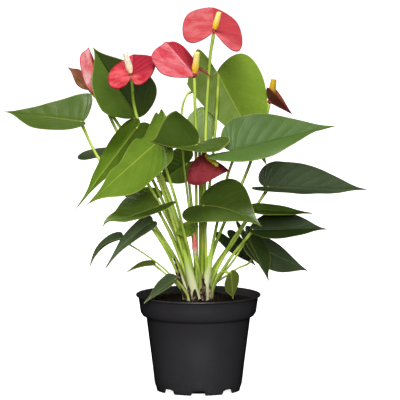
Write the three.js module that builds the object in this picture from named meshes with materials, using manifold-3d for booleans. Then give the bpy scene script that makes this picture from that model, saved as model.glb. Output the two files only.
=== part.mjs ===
// A flamingo flower (anthurium) in a round nursery pot.
// Millimetres, +Z up, the viewer stands on the -Y side, and the origin is the middle of the
// pot's underside. The plant is a fountain of stalks: each leaf is one solid, its stalk and its
// heart-shaped blade, and each flower is a stem, a heart-shaped bract and a bumpy spike.
import * as THREE from 'three';
import { mergeVertices } from 'three/addons/utils/BufferGeometryUtils.js';
import Module from 'manifold-3d';

// ---- driving dimensions, mm ----
const SIDES = 36;                 // facets round the pot
const POT_HEIGHT = 93;
const RIM_RADIUS = 60;            // outer edge of the flat lip
const COLLAR_TOP_RADIUS = 58;     // the deep collar under the lip
const COLLAR_FOOT_RADIUS = 55.7;
const COLLAR_FOOT_Z = 76;
const BODY_TOP_RADIUS = 50.3;     // the tapered wall below the collar
const BODY_TOP_Z = 72;
const BODY_FOOT_RADIUS = 42.2;
const FOOT_RADIUS = 40.3;
const WALL = 1.3;
const NOTCH_COUNT = 8;            // drainage notches in the foot ring
const NOTCH_HEIGHT = 4.5;
const NOTCH_HALF_ANGLE = 9;       // degrees
const GAP = 0.3;                  // clearance between touching pieces
const SOIL_Z = 87;                // soil surface beside the plant
const SOCKET_Z = 70;              // how deep the stalks stand in the soil
const NECK_Z = 89;                // up to here a stalk is straight and upright
const FOOT_PITCH = 2.7;           // spacing of the spiral in which the stalks leave the soil
const GOLDEN_ANGLE = 137.508;     // degrees
const STALK_SIDES = 6;
const STALK_FOOT = 1.8;           // stalk radius in its sheath at the soil
const STALK = 1.5;                // stalk radius above the sheath
const BLADE = 0.8;                // leaf thickness
const MIDRIB = 0.7;               // how far the midrib stands out below the blade
const BRACT = 0.9;                // thickness of a flower's bract
const BRACT_RIB = 0.3;
const COLLAR = 2.3;               // radius of the collar between stem, bract and spike
const SPIKE = 2.6;                // greatest radius of a spike
const SPIKE_SIDES = 8;
const SPIKE_RINGS = 10;
const SPIKE_LIFT = 1.3;           // how far the spike's foot sits towards the face of the bract
const FLORET = 0.22;              // relief of the florets on the spike

// Each leaf. spot: its place in the spiral of stalks, thin: thickness of its stalk (1 if left out),
// via: places that the stalk passes, base: where the stalk meets the blade, tip: its drip tip,
// left and right: the widest points of its two halves, seen from base to tip with the glossy side
// up. The rest shapes the two halves, in parts of their length and width. lobe: how far the lobes
// reach back past the base, open: how wide the notch between them opens, crest: how wide they
// end, full: how full the halves are towards the tip. In mm, flare: how far the lobes turn up,
// cup: how far the halves belly, wave: how wavy the margin is, mid and hook: how far the midrib
// and its tip bow. rows: how many rows of facets the blade has.
const LEAVES = {
  leaf_01: { spot: 17, via: [[-70, 8, 190], [-96, 19, 222]], base: [-111, 15, 258],
    tip: [-188, 50, 264], left: [-147, -18, 254], right: [-105, 30, 284], lobe: [0.2, 0.05],
    full: [0.42, 0.15], rows: 12 },
  leaf_02: { spot: 1, via: [[-22, 11, 170], [-50, 21, 240]], base: [-60, 20, 263],
    tip: [-102, 64, 325], left: [-93, -12, 273], right: [-42, -12, 299], lobe: [0.08, 0.15],
    full: [0.55, 0.5], rows: 12 },
  leaf_03: { spot: 12, base: [-57, 0, 257], tip: [-119, -25, 177], left: [-46, -18, 251],
    right: [-77, 26, 250], lobe: [0.05, 0.1], full: [0.4, 0.38], hook: [3, 0, 3], rows: 12 },
  leaf_04: { spot: 7, base: [-37, -50, 248], tip: [-107, -32, 183], left: [-37, -75, 216],
    right: [-35, -31, 275], lobe: [0.2, 0.1], full: [0.5, 0.35], crest: [1, 0.6], wave: 3,
    rows: 14 },
  leaf_05: { spot: 15, base: [-1, -38, 242], tip: [-46, -98, 253], left: [19, -61, 240],
    right: [-21, -26, 274], lobe: [0.36, 0.2], open: [0.1, 0.3], crest: [1, 0.5],
    flare: [40, 0], mid: [0, 0, -4], rows: 12 },
  leaf_06: { spot: 11, base: [5, 34, 269], tip: [4, 12, 226], left: [17, 32, 257],
    right: [-11, 32, 257], lobe: [0.1, 0.1], full: [0.6, 0.6] },
  leaf_07: { spot: 19, base: [-10, 34, 216], tip: [-41, 62, 193], left: [-11, 17, 200],
    right: [-24, 44, 227], full: [0.4, 0.3] },
  leaf_08: { spot: 3, via: [[17, 15, 259]], base: [18, 40, 303], tip: [66, -4, 217],
    left: [58, 62, 305], right: [-11, 40, 291], lobe: [0.18, 0.34], full: [0.5, 0.4],
    open: [0.6, 0.2], crest: [1, 0.4], rows: 14 },
  leaf_09: { spot: 18, via: [[27, -15, 205]], base: [34, -30, 235], tip: [132, 0, 256],
    left: [39, -20, 267], right: [59, -74, 232], lobe: [0.18, 0.5], flare: [0, 12],
    cup: [0, 7], rows: 14 },
  leaf_10: { spot: 8, via: [[40, 0, 153]], base: [65, 14, 195], tip: [164, 48, 188],
    left: [78, 22, 219], right: [100, -14, 192], lobe: [0.15, 0.35], full: [0.55, 0.5], rows: 14 },
  leaf_11: { spot: 31, base: [4, -42, 184], tip: [60, -87, 170], left: [30, -30, 207],
    right: [-5, -70, 171], lobe: [0.2, 0.3], full: [0.5, 0.5], mid: [0, 0, 5], rows: 12 },
  leaf_12: { spot: 20, base: [-38, -38, 183], tip: [-91, -53, 165], left: [-42, -61, 179],
    right: [-59, -17, 195], lobe: [0.45, 0.1], full: [0.55, 0.5], hook: [-2, 0, 3], rows: 12 },
  leaf_13: { spot: 27, base: [-44, 38, 180], tip: [-72, 83, 177], left: [-47, 25, 175],
    right: [-47, 55, 190], lobe: [0.2, 0.5] },
  leaf_14: { spot: 30, thin: 0.6, via: [[-27, 2, 111], [-47, 10, 127]], base: [-74, 20, 144],
    tip: [-105, 24, 116], left: [-75, 4, 145], right: [-79, 38, 147], lobe: [0.1, 0.1],
    mid: [-4, 0, 5] },
  leaf_15: { spot: 25, base: [-45, -15, 164], tip: [-90, 0, 117], left: [-43, -37, 160],
    right: [-54, 3, 166], lobe: [0.1, 0.1], full: [0.35, 0.4], mid: [-2, 0, 3] },
  leaf_16: { spot: 33, thin: 0.6, base: [-42, -16, 124], tip: [-69, -20, 117],
    left: [-46, -26, 123], right: [-47, -7, 126], lobe: [0.1, 0.1], mid: [0, 0, 2] },
  leaf_17: { spot: 41, thin: 0.75, base: [-21, -30, 112], tip: [-52, -46, 91], left: [-28, -43, 106],
    right: [-31, -18, 114], lobe: [0.1, 0.1] },
  leaf_18: { spot: 26, thin: 0.65, via: [[20, -14, 115]], base: [31, -20, 117], tip: [33, -40, 94],
    left: [39, -14, 112], right: [25, -26, 105], lobe: [0.15, 0.1] },
  leaf_19: { spot: 13, base: [51, -14, 177], tip: [110, 2, 171], left: [65, 6, 180],
    right: [67, -36, 175], lobe: [0.2, 0.2], full: [0.35, 0.5] },
  leaf_20: { spot: 21, base: [51, 2, 155], tip: [125, 22, 153], left: [72, 13, 171],
    right: [70, -24, 150], lobe: [0.1, 0.1], full: [0.5, 0.5] },
  leaf_21: { spot: 29, thin: 0.75, via: [[36, 6, 128]], base: [47, 16, 147], tip: [68, -6, 106],
    left: [65, 20, 137], right: [41, 12, 148], full: [0.5, 0.35] },
  leaf_22: { spot: 16, thin: 0.7, via: [[36, 18, 114], [50, 28, 120]], base: [56, 34, 135],
    tip: [107, 58, 107], left: [64, 58, 141], right: [66, 8, 117] },
  leaf_23: { spot: 32, thin: 0.8, base: [32, 42, 139], tip: [56, 72, 110], left: [41, 60, 141],
    right: [25, 30, 134], lobe: [0.4, 0.6] },
  leaf_24: { spot: 2, thin: 0.8, base: [-2, -5, 161], tip: [-23, -14, 153], left: [-6, -14, 151],
    right: [-12, 2, 163], lobe: [0.2, 0.2] },
  leaf_25: { spot: 22, base: [-94, 47, 221], tip: [-74, 100, 226], left: [-112, 53, 223],
    right: [-81, 41, 218], lobe: [0.6, 0.3] },
  leaf_26: { spot: 6, thin: 0.8, via: [[-15, 18, 230], [-16, 42, 264], [-11, 50, 280]],
    base: [-3, 55, 284], tip: [27, 100, 271], left: [5, 62, 301], right: [9, 60, 274],
    lobe: [0.25, 0.05] },
};

// Each open flower: the same for its stem and its bract. tipWidth and shoulder: how blunt the
// bract is, spike: where its spike ends, girth: thickness of the spike (1 if left out).
const FLOWERS = {
  flower_1: { spot: 5, via: [[7, -6, 245], [11, -5, 320]], base: [15, -5, 347], tip: [13, 48, 365],
    left: [-15, -5, 346], right: [42, -5, 341], lobe: [0.52, 0.78], full: [0.95, 0.8],
    tipWidth: 0.62, shoulder: 1, open: [0.5, 0.5], spike: [20, -8, 366], rows: 14 },
  flower_2: { spot: 0, via: [[1, -18, 239], [-2, -20, 254]], base: [-4, -25, 307],
    tip: [-32, 15, 335], left: [-38, -46, 314], right: [-6, 5, 322], lobe: [0.17, 0.22],
    full: [0.7, 0.8], tipWidth: 0.4, open: [0.3, 0.1], spike: [-1, -31, 330], girth: 1.12,
    rows: 12 },
  flower_3: { spot: 4, via: [[-24, 1, 172], [-59, 14, 263]], base: [-64, -22, 307],
    tip: [-63, 14, 323], left: [-86, -22, 305], right: [-40, -18, 318], lobe: [0.8, 0.95],
    full: [0.6, 0.6], crest: [1, 0.8], tipWidth: 0.4, spike: [-70, -28, 330], girth: 1.12,
    rows: 12 },
  flower_4: { spot: 9, via: [[-86, 36, 262]], base: [-96, 40, 283], tip: [-106, 42, 327],
    left: [-113, 26, 308], right: [-99, 66, 300], lobe: [0.4, 0.4], full: [0.5, 0.5], tipWidth: 0.3,
    open: [0.5, 0.1], spike: [-99, 34, 298], girth: 0.55 },
  flower_5: { spot: 14, via: [[-36, 20, 184], [-79, 42, 255]], base: [-107, 58, 286],
    tip: [-126, 60, 306], left: [-117, 44, 291], right: [-113, 72, 300], lobe: [0.2, 0.2],
    full: [0.2, 0.3], tipWidth: 0.1, spike: [-105, 58, 299] },
  flower_6: { spot: 10, via: [[5, -22, 190]], base: [6, -38, 232], tip: [30, -58, 219],
    left: [20, -36, 223], right: [-8, -64, 209], lobe: [0.42, 0.3], full: [0.5, 0.6],
    spike: [18, -60, 225], girth: 0.78, rows: 12 },
  flower_8: { spot: 24, via: [[51, 29, 219], [61, 39, 242]], base: [69, 45, 274],
    tip: [91, 48, 262], left: [74, 57, 286], right: [67, 30, 289], lobe: [0.1, 0.1],
    full: [0.3, 0.4], spike: [73, 45, 296], girth: 1.15 },
};

// Other stalks: the bud that is still rolled up in its bract, and the withered stubs of old
// sheaths at the crown.
const BUD = { spot: 23, base: [-3, -40, 137], via: [[0, -35, 122], [-3, -40, 133]],
  tip: [-4, -42, 158] };
const STUBS = {
  stub_1: { spot: 44, base: [6, -24, 107] },
  stub_2: { spot: 28, base: [-8, -19, 109] },
  stub_3: { spot: 39, base: [10, -17, 106] },
};

const wasm = await Module();
wasm.setup();

const vec = (place) => new THREE.Vector3(...place);
const mix = (a, b, t) => a + (b - a) * t;

// ---- joining and cutting ----
function solid(geometry) {
  geometry.deleteAttribute('normal');
  geometry.deleteAttribute('uv');
  const welded = mergeVertices(geometry, 1e-3);
  const index = welded.getIndex().array;
  const corners = [];
  for (let i = 0; i < index.length; i += 3) {
    const [a, b, c] = [index[i], index[i + 1], index[i + 2]];
    if (a !== b && b !== c && c !== a) corners.push(a, b, c);
  }
  return new wasm.Manifold(new wasm.Mesh({
    numProp: 3,
    vertProperties: new Float32Array(welded.getAttribute('position').array),
    triVerts: new Uint32Array(corners),
  }));
}

function node(name, body, look) {
  const { vertProperties, triVerts } = body.getMesh();
  const geometry = new THREE.BufferGeometry();
  geometry.setAttribute('position', new THREE.BufferAttribute(vertProperties, 3));
  geometry.setIndex(new THREE.BufferAttribute(triVerts, 1));
  geometry.computeVertexNormals();
  const mesh = new THREE.Mesh(geometry, new THREE.MeshStandardMaterial(look));
  mesh.name = name;
  return mesh;
}

function turned(profile) {
  const points = profile.map(([r, z]) => new THREE.Vector2(r, z));
  return solid(new THREE.LatheGeometry(points, SIDES).rotateX(Math.PI / 2));
}

// ---- pot: foot ring, tapered wall, flared collar and flat lip ----
function pot() {
  let body = turned([
    [0, 0], [27, 0], [28.5, 4.6], [38.2, 4.6], [38.8, 0], [FOOT_RADIUS, 0],
    [BODY_FOOT_RADIUS, 8], [BODY_TOP_RADIUS, BODY_TOP_Z], [53.5, BODY_TOP_Z + 0.6],
    [COLLAR_FOOT_RADIUS, COLLAR_FOOT_Z], [COLLAR_TOP_RADIUS, POT_HEIGHT - 1.7],
    [RIM_RADIUS, POT_HEIGHT - 1.4], [RIM_RADIUS, POT_HEIGHT],
    [COLLAR_TOP_RADIUS + 0.6, POT_HEIGHT], [COLLAR_TOP_RADIUS - WALL, POT_HEIGHT - 2.5],
    [COLLAR_FOOT_RADIUS - WALL, COLLAR_FOOT_Z + 1.2], [52.5, COLLAR_FOOT_Z - 2.1],
    [BODY_TOP_RADIUS - WALL + 0.05, BODY_TOP_Z + 1.2], [BODY_FOOT_RADIUS - WALL + 0.1, 8],
    [40.4, 5.9], [27.8, 5.9], [26.3, WALL], [0, WALL],
  ]);
  const halfWidth = FOOT_RADIUS * Math.tan(THREE.MathUtils.degToRad(NOTCH_HALF_ANGLE));
  const notch = new THREE.Shape([
    new THREE.Vector2(-halfWidth, -1), new THREE.Vector2(halfWidth, -1),
    new THREE.Vector2(halfWidth * 0.7, NOTCH_HEIGHT),
    new THREE.Vector2(-halfWidth * 0.7, NOTCH_HEIGHT),
  ]);
  for (let i = 0; i < NOTCH_COUNT; i += 1) {
    const cutter = new THREE.ExtrudeGeometry(notch, { depth: 6, bevelEnabled: false })
      .rotateX(Math.PI / 2).translate(0, -37.4, 0).rotateZ((i * 2 * Math.PI) / NOTCH_COUNT);
    body = body.subtract(solid(cutter));
  }
  return body;
}

// ---- the spiral in which the stalks leave the soil ----
function footOf(row) {
  const radius = FOOT_PITCH * Math.sqrt(row.spot + 0.6);
  const angle = THREE.MathUtils.degToRad(row.spot * GOLDEN_ANGLE);
  return [radius * Math.cos(angle), radius * Math.sin(angle)];
}

function ring(radius) {
  return new THREE.Shape(Array.from({ length: STALK_SIDES }, (_, i) => {
    const angle = (i * 2 * Math.PI) / STALK_SIDES;
    return new THREE.Vector2(radius * Math.cos(angle), radius * Math.sin(angle));
  }));
}

// ---- soil: fills the pot, with a plain socket for each stalk ----
function soil(rows) {
  let body = turned([
    [0, WALL + GAP], [26, WALL + GAP], [27.4, 6.2], [40.1, 6.2], [40.7, 8.2],
    [BODY_TOP_RADIUS - WALL - 0.3, BODY_TOP_Z + 1.5], [52.2, COLLAR_FOOT_Z - 1.8],
    [COLLAR_FOOT_RADIUS - WALL - 0.4, COLLAR_FOOT_Z + 1.4], [55.6, SOIL_Z - 0.5],
    [30, SOIL_Z + 1], [0, SOIL_Z + 1.5],
  ]);
  for (const row of rows) {
    const [x, y] = footOf(row);
    const way = new THREE.LineCurve3(vec([x, y, SOCKET_Z]), vec([x, y, SOIL_Z + 8]));
    const radius = STALK_FOOT * (row.thin ?? 1) + GAP * 1.2;
    body = body.subtract(solid(new THREE.ExtrudeGeometry(ring(radius),
      { steps: 1, bevelEnabled: false, extrudePath: way })));
  }
  return body;
}

// ---- stalk: upright in its socket, then bending smoothly through the places it passes ----
class Course extends THREE.Curve {
  constructor(places) {
    super();
    const foot = places[0].clone().setZ(SOCKET_Z + GAP);
    this.legs = [[new THREE.LineCurve3(foot, places[0]), 0, 1]];
    const aim = places.map((place, i) => {
      if (i === 0) return new THREE.Vector3(0, 0, 1);
      return places[Math.min(i + 1, places.length - 1)].clone().sub(places[i - 1]).normalize();
    });
    for (let i = 1; i < places.length; i += 1) {
      const third = places[i].distanceTo(places[i - 1]) / 3;
      const leg = new THREE.CubicBezierCurve3(places[i - 1],
        places[i - 1].clone().addScaledVector(aim[i - 1], third),
        places[i].clone().addScaledVector(aim[i], -third), places[i]);
      const parts = Math.max(2, Math.round(third / 9));
      for (let k = 0; k < parts; k += 1) this.legs.push([leg, k / parts, (k + 1) / parts]);
    }
  }

  getPoint(t, target) {
    const s = t * this.legs.length;
    const i = Math.min(Math.floor(s), this.legs.length - 1);
    const [leg, from, to] = this.legs[i];
    return leg.getPoint(mix(from, to, s - i), target);
  }

  getSpacedPoints(count) { return this.getPoints(count); }

  getTangentAt(t, target) { return this.getTangent(t, target); }
}

// A stalk with no places of its own rises steeply first and leans out later.
function viaOf(row, end) {
  if (row.via) return row.via.map(vec);
  const [x, y] = footOf(row);
  return [new THREE.Vector3(mix(x, end.x, 0.4), mix(y, end.y, 0.4), mix(NECK_Z, end.z, 0.53))];
}

function stalk(row, end, endRadius = STALK * (row.thin ?? 1)) {
  const neck = vec([...footOf(row), NECK_Z]);
  const course = new Course([neck, ...viaOf(row, end), end]);
  const steps = course.legs.length;
  const geometry = new THREE.ExtrudeGeometry(ring(1),
    { steps, bevelEnabled: false, extrudePath: course });
  const centres = course.getSpacedPoints(steps);
  const footRadius = STALK_FOOT * (row.thin ?? 1);
  const radii = centres.map((_, i) => (i < 2 ? footRadius
    : mix(endRadius, footRadius, (1 - i / steps) ** 3)));
  const position = geometry.getAttribute('position');
  const corner = new THREE.Vector3();
  for (let i = 0; i < position.count; i += 1) {
    corner.fromBufferAttribute(position, i);
    let nearest = 0;
    centres.forEach((centre, k) => {
      if (corner.distanceTo(centre) < corner.distanceTo(centres[nearest])) nearest = k;
    });
    corner.sub(centres[nearest]).multiplyScalar(radii[nearest]).add(centres[nearest]);
    position.setXYZ(i, corner.x, corner.y, corner.z);
  }
  return solid(geometry);
}

// ---- blade: two heart-shaped halves, each spread between the midrib and its widest point ----
const flat = (x, y) => new THREE.Vector2(x, y);

// Half an outline, from the base (0, 0) round the lobe and the widest point to the tip (1, 0).
function outline(t, { lobe, full, open, crest, tipWidth, shoulder }) {
  const lobeSide = new THREE.CubicBezierCurve(flat(0, 0), flat(-lobe, open), flat(-lobe, crest),
    flat(0.05, 1));
  const tipSide = new THREE.CubicBezierCurve(flat(0.05, 1), flat(0.05 + 0.8 * full, 1),
    flat(shoulder, tipWidth), flat(1, 0));
  return t < 0.5 ? lobeSide.getPoint(t * 2) : tipSide.getPoint(t * 2 - 1);
}

function bladeShape(row) {
  const base = vec(row.base);
  const along = vec(row.tip).sub(base);
  const across = [row.left, row.right].map((widest) => (
    vec(widest).sub(base).addScaledVector(along, -0.05)));
  const up = along.clone().cross(across[0]).normalize()
    .add(across[1].clone().cross(along).normalize()).normalize();
  const midrib = (p) => {
    const bow = 4 * p * (1 - p) * (p > 0 ? 1 : 0.4);
    const k = THREE.MathUtils.clamp((p - 0.55) / 0.45, 0, 1);
    return base.clone().addScaledVector(along, p)
      .addScaledVector(vec(row.mid ?? [0, 0, 0]), bow)
      .addScaledVector(vec(row.hook ?? [0, 0, 0]), k * k * (1 - k) * 6.75);
  };
  const ribAt = (t) => THREE.MathUtils.clamp(t * 2 - 1, 0, 1) ** 1.5;
  const surface = (side, t, v) => {
    const full = (row.full ?? [0.5, 0.5])[side];
    const edge = outline(t, {
      lobe: (row.lobe ?? [0.42, 0.42])[side],
      full,
      open: (row.open ?? [0.1, 0.1])[side],
      crest: (row.crest ?? [1, 1])[side],
      tipWidth: row.tipWidth ?? 0.24 * full,
      shoulder: row.shoulder ?? 0.74,
    });
    const p = mix(ribAt(t), edge.x, v) - 0.1 * v * (1 - v) * Math.sin(Math.PI * t);
    const q = v * edge.y;
    const ripple = (row.wave ?? 0) * Math.sin(5 * Math.PI * t + side * 1.3) * v * v
      * Math.sin(Math.PI * t);
    const rise = (row.cup ?? [0, 0])[side] * 4 * q * (1 - q)
      + (row.flare ?? [0, 0])[side] * Math.max(0, -p);
    return midrib(p).addScaledVector(across[side], q).addScaledVector(up, rise + ripple);
  };
  return { base, up, midrib, ribAt, surface };
}

function blade(row, thickness, rib) {
  const { base, midrib, ribAt, surface } = bladeShape(row);
  const rows = row.rows ?? 8;
  const columns = rows > 12 ? 3 : 2;
  const points = [base, midrib(1)];
  const ribs = [];
  const place = {};
  for (let j = 1; j < rows; j += 1) {
    ribs[j] = ribAt(j / rows) > 0 ? points.push(midrib(ribAt(j / rows))) - 1 : 0;
    for (const side of [0, 1]) {
      for (let k = 1; k <= columns; k += 1) {
        place[`${side} ${j} ${k}`] = points.push(surface(side, j / rows, k / columns)) - 1;
      }
    }
  }
  const at = (side, j, k) => {
    if (j === 0) return 0;
    if (j === rows) return 1;
    return k === 0 ? ribs[j] : place[`${side} ${j} ${k}`];
  };
  const faces = [];
  const face = (side, a, b, c) => {
    if (a !== b && b !== c && c !== a) faces.push(side ? [a, c, b] : [a, b, c]);
  };
  for (const side of [0, 1]) {
    for (let j = 0; j < rows; j += 1) {
      for (let k = 0; k < columns; k += 1) {
        face(side, at(side, j, k), at(side, j + 1, k), at(side, j + 1, k + 1));
        face(side, at(side, j, k), at(side, j + 1, k + 1), at(side, j, k + 1));
      }
    }
  }
  // both faces lie half the thickness off the middle; past the base the midrib stands out below
  const normals = points.map(() => new THREE.Vector3());
  for (const [a, b, c] of faces) {
    const n = points[b].clone().sub(points[a]).cross(points[c].clone().sub(points[a]));
    for (const i of [a, b, c]) normals[i].add(n);
  }
  normals.forEach((n) => n.normalize());
  const above = points.map((p, i) => p.clone().addScaledVector(normals[i], thickness / 2));
  const below = points.map((p, i) => {
    const onRib = i > 0 && ribs.includes(i);
    return p.clone().addScaledVector(normals[i], -thickness / 2 - (onRib ? rib : 0));
  });
  const edges = new Set(faces.flatMap(([a, b, c]) => [`${a},${b}`, `${b},${c}`, `${c},${a}`]));
  const total = points.length;
  const index = faces.flatMap(([a, b, c]) => [a, b, c, c + total, b + total, a + total]);
  for (const edge of edges) {
    const [a, b] = edge.split(',').map(Number);
    if (!edges.has(`${b},${a}`)) index.push(a, a + total, b, b, a + total, b + total);
  }
  const geometry = new THREE.BufferGeometry().setFromPoints([...above, ...below]);
  geometry.setIndex(index);
  return solid(geometry);
}

// ---- leaf: stalk and blade in one ----
function leaf(row) {
  const end = bladeShape(row).midrib(0.03);
  return stalk(row, end).add(blade(row, BLADE, MIDRIB));
}

// ---- flower: the bract has a collar that sits between the stem and the spike ----
function bract(row) {
  const collar = new THREE.IcosahedronGeometry(COLLAR, 1).translate(...row.base);
  return blade(row, BRACT, BRACT_RIB).add(solid(collar));
}

function stemEnd(row) {
  const base = vec(row.base);
  const back = viaOf(row, base).at(-1).sub(base).normalize();
  return base.addScaledVector(back, COLLAR + GAP);
}

// The spike tapers to a blunt tip; its florets are a relief of offset diamonds.
function spike(row) {
  const { base, up } = bladeShape(row);
  const start = base.clone().addScaledVector(up, SPIKE_LIFT);
  const axis = vec(row.spike).sub(start);
  const seat = COLLAR + GAP - SPIKE_LIFT * up.dot(axis.clone().normalize());
  const length = axis.length() - seat;
  const radius = (u) => SPIKE * (u < 0.2 ? mix(0.55, 1, u / 0.2)
    : mix(1, 0.65, ((u - 0.2) / 0.8) ** 1.6));
  const geometry = new THREE.CylinderGeometry(1, 1, length, SPIKE_SIDES, SPIKE_RINGS);
  const position = geometry.getAttribute('position');
  for (let i = 0; i < position.count; i += 1) {
    const [x, y, z] = [position.getX(i), position.getY(i), position.getZ(i)];
    const u = y / length + 0.5;
    const step = Math.round(u * SPIKE_RINGS);
    const turn = Math.round((Math.atan2(x, z) / (2 * Math.PI)) * SPIKE_SIDES);
    const relief = step > 0 && step < SPIKE_RINGS && (step + turn) % 2 ? FLORET : 0;
    const scale = (radius(u) + relief) * (row.girth ?? 1);
    position.setXYZ(i, x * scale, y, z * scale);
  }
  geometry.rotateX(Math.PI / 2).translate(0, 0, length / 2 + seat);
  geometry.applyQuaternion(new THREE.Quaternion().setFromUnitVectors(
    new THREE.Vector3(0, 0, 1), axis.normalize()));
  return solid(geometry.translate(...start));
}

// The bud: a slim pointed roll on its own stem.
function bud(row) {
  const base = vec(row.base);
  const axis = vec(row.tip).sub(base);
  const length = axis.length();
  const profile = [[0, 0], [1.6, 0], [2.9, 0.25], [2.7, 0.5], [1.7, 0.8], [0, 1]]
    .map(([r, u]) => new THREE.Vector2(r, u * length));
  const geometry = new THREE.LatheGeometry(profile, 8).rotateX(Math.PI / 2);
  geometry.applyQuaternion(new THREE.Quaternion().setFromUnitVectors(
    new THREE.Vector3(0, 0, 1), axis.normalize()));
  return solid(geometry.translate(...row.base));
}

// ---- assembly ----
const LEAF = { color: 0x3f6b2f, roughness: 0.45, metalness: 0 };
const STEM = { color: 0x9db455, roughness: 0.5, metalness: 0 };
const RED = { color: 0xb8262e, roughness: 0.35, metalness: 0 };
const YELLOW = { color: 0xd9b24a, roughness: 0.6, metalness: 0 };
const BLACK = { color: 0x2b2a29, roughness: 0.5, metalness: 0 };
const EARTH = { color: 0x2a211b, roughness: 0.95, metalness: 0 };
const STRAW = { color: 0xa98d5f, roughness: 0.85, metalness: 0 };

const plant = new THREE.Group();
plant.name = 'anthurium';
const rooted = [...Object.values(LEAVES), ...Object.values(FLOWERS), BUD,
  ...Object.values(STUBS)];
plant.add(node('pot', pot(), BLACK));
plant.add(node('soil', soil(rooted), EARTH));
for (const [name, row] of Object.entries(LEAVES)) plant.add(node(name, leaf(row), LEAF));
for (const [name, row] of Object.entries(FLOWERS)) {
  plant.add(node(`${name}_stem`, stalk(row, stemEnd(row)), STEM));
  plant.add(node(`${name}_bract`, bract(row), RED));
  plant.add(node(`${name}_spike`, spike(row), YELLOW));
}
const budFoot = vec(BUD.base).setZ(BUD.base[2] - GAP);
plant.add(node('flower_7_stem', stalk(BUD, budFoot), STEM));
plant.add(node('flower_7_bract', bud(BUD), RED));
for (const [name, row] of Object.entries(STUBS)) {
  plant.add(node(name, stalk({ ...row, via: [] }, vec(row.base), 0.7), STRAW));
}

export default plant;
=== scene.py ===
"""A potted anthurium: leaves, red flowers, soil and nursery pot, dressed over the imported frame.

Metres, +Z up, the viewer on the -Y side, the origin under the middle of the pot. The places of
the plant are written in millimetres and turned into metres by MM.
"""
import random
from math import atan2, cos, degrees, exp, hypot, pi, radians, sin, sqrt

import bpy
from mathutils import Matrix, Vector, noise


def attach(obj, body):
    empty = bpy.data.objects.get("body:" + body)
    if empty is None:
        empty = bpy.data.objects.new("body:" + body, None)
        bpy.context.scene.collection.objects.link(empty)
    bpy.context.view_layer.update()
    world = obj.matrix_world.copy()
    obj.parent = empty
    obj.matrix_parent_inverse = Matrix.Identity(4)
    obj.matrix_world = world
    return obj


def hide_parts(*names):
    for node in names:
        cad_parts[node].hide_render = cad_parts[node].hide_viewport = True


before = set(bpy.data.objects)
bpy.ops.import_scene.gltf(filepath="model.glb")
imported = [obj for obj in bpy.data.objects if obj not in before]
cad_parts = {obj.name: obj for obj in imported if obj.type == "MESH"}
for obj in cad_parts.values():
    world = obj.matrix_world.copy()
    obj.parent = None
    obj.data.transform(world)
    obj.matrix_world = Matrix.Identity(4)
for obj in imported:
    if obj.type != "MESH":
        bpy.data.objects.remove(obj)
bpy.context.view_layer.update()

MM = 0.001


# ---------------------------------------------------------------- pot
# A thin nursery pot of black polypropylene, injection moulded in one shot: a foot ring with
# drainage notches, a tapered wall, a deep stepped collar and a flat lip. Nothing is fixed to it;
# the root ball simply stands in it.
POT_SIDES = 144
POT_HEIGHT = 93
WALL = 1.3
POT_PROFILE = [  # (radius, height) from the edge of the raised floor round to the inner floor
    (27, 0), (28.5, 4.6), (38.2, 4.6), (38.8, 0), (40.3, 0), (41.3, 4.4), (42.2, 8), (44.9, 30),
    (47.6, 51), (50.3, 72), (53.5, 72.6), (55.7, 76), (56.7, 83.5), (58, POT_HEIGHT - 1.7),
    (60, POT_HEIGHT - 1.4), (60, POT_HEIGHT), (58.6, POT_HEIGHT), (56.7, POT_HEIGHT - 2.5),
    (54.4, 77.2), (52.5, 73.9), (50.3 - WALL + 0.05, 73.2), (42.2 - WALL + 0.1, 8), (40.4, 5.9),
    (27.8, 5.9), (26.3, WALL),
]
NOTCHES = 8
NOTCH_HALF_ANGLE = 7.6  # degrees
NOTCH_HEIGHT = 4.4
FOOT_RING = 38  # inner radius of the ring that the pot stands on
ON_TABLE = 0.1  # the height up to which a corner lies on the table
EDGE_ROUNDING = 0.28
SHARP_EDGE = 28  # degrees, from which an edge of the mould is rounded


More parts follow.
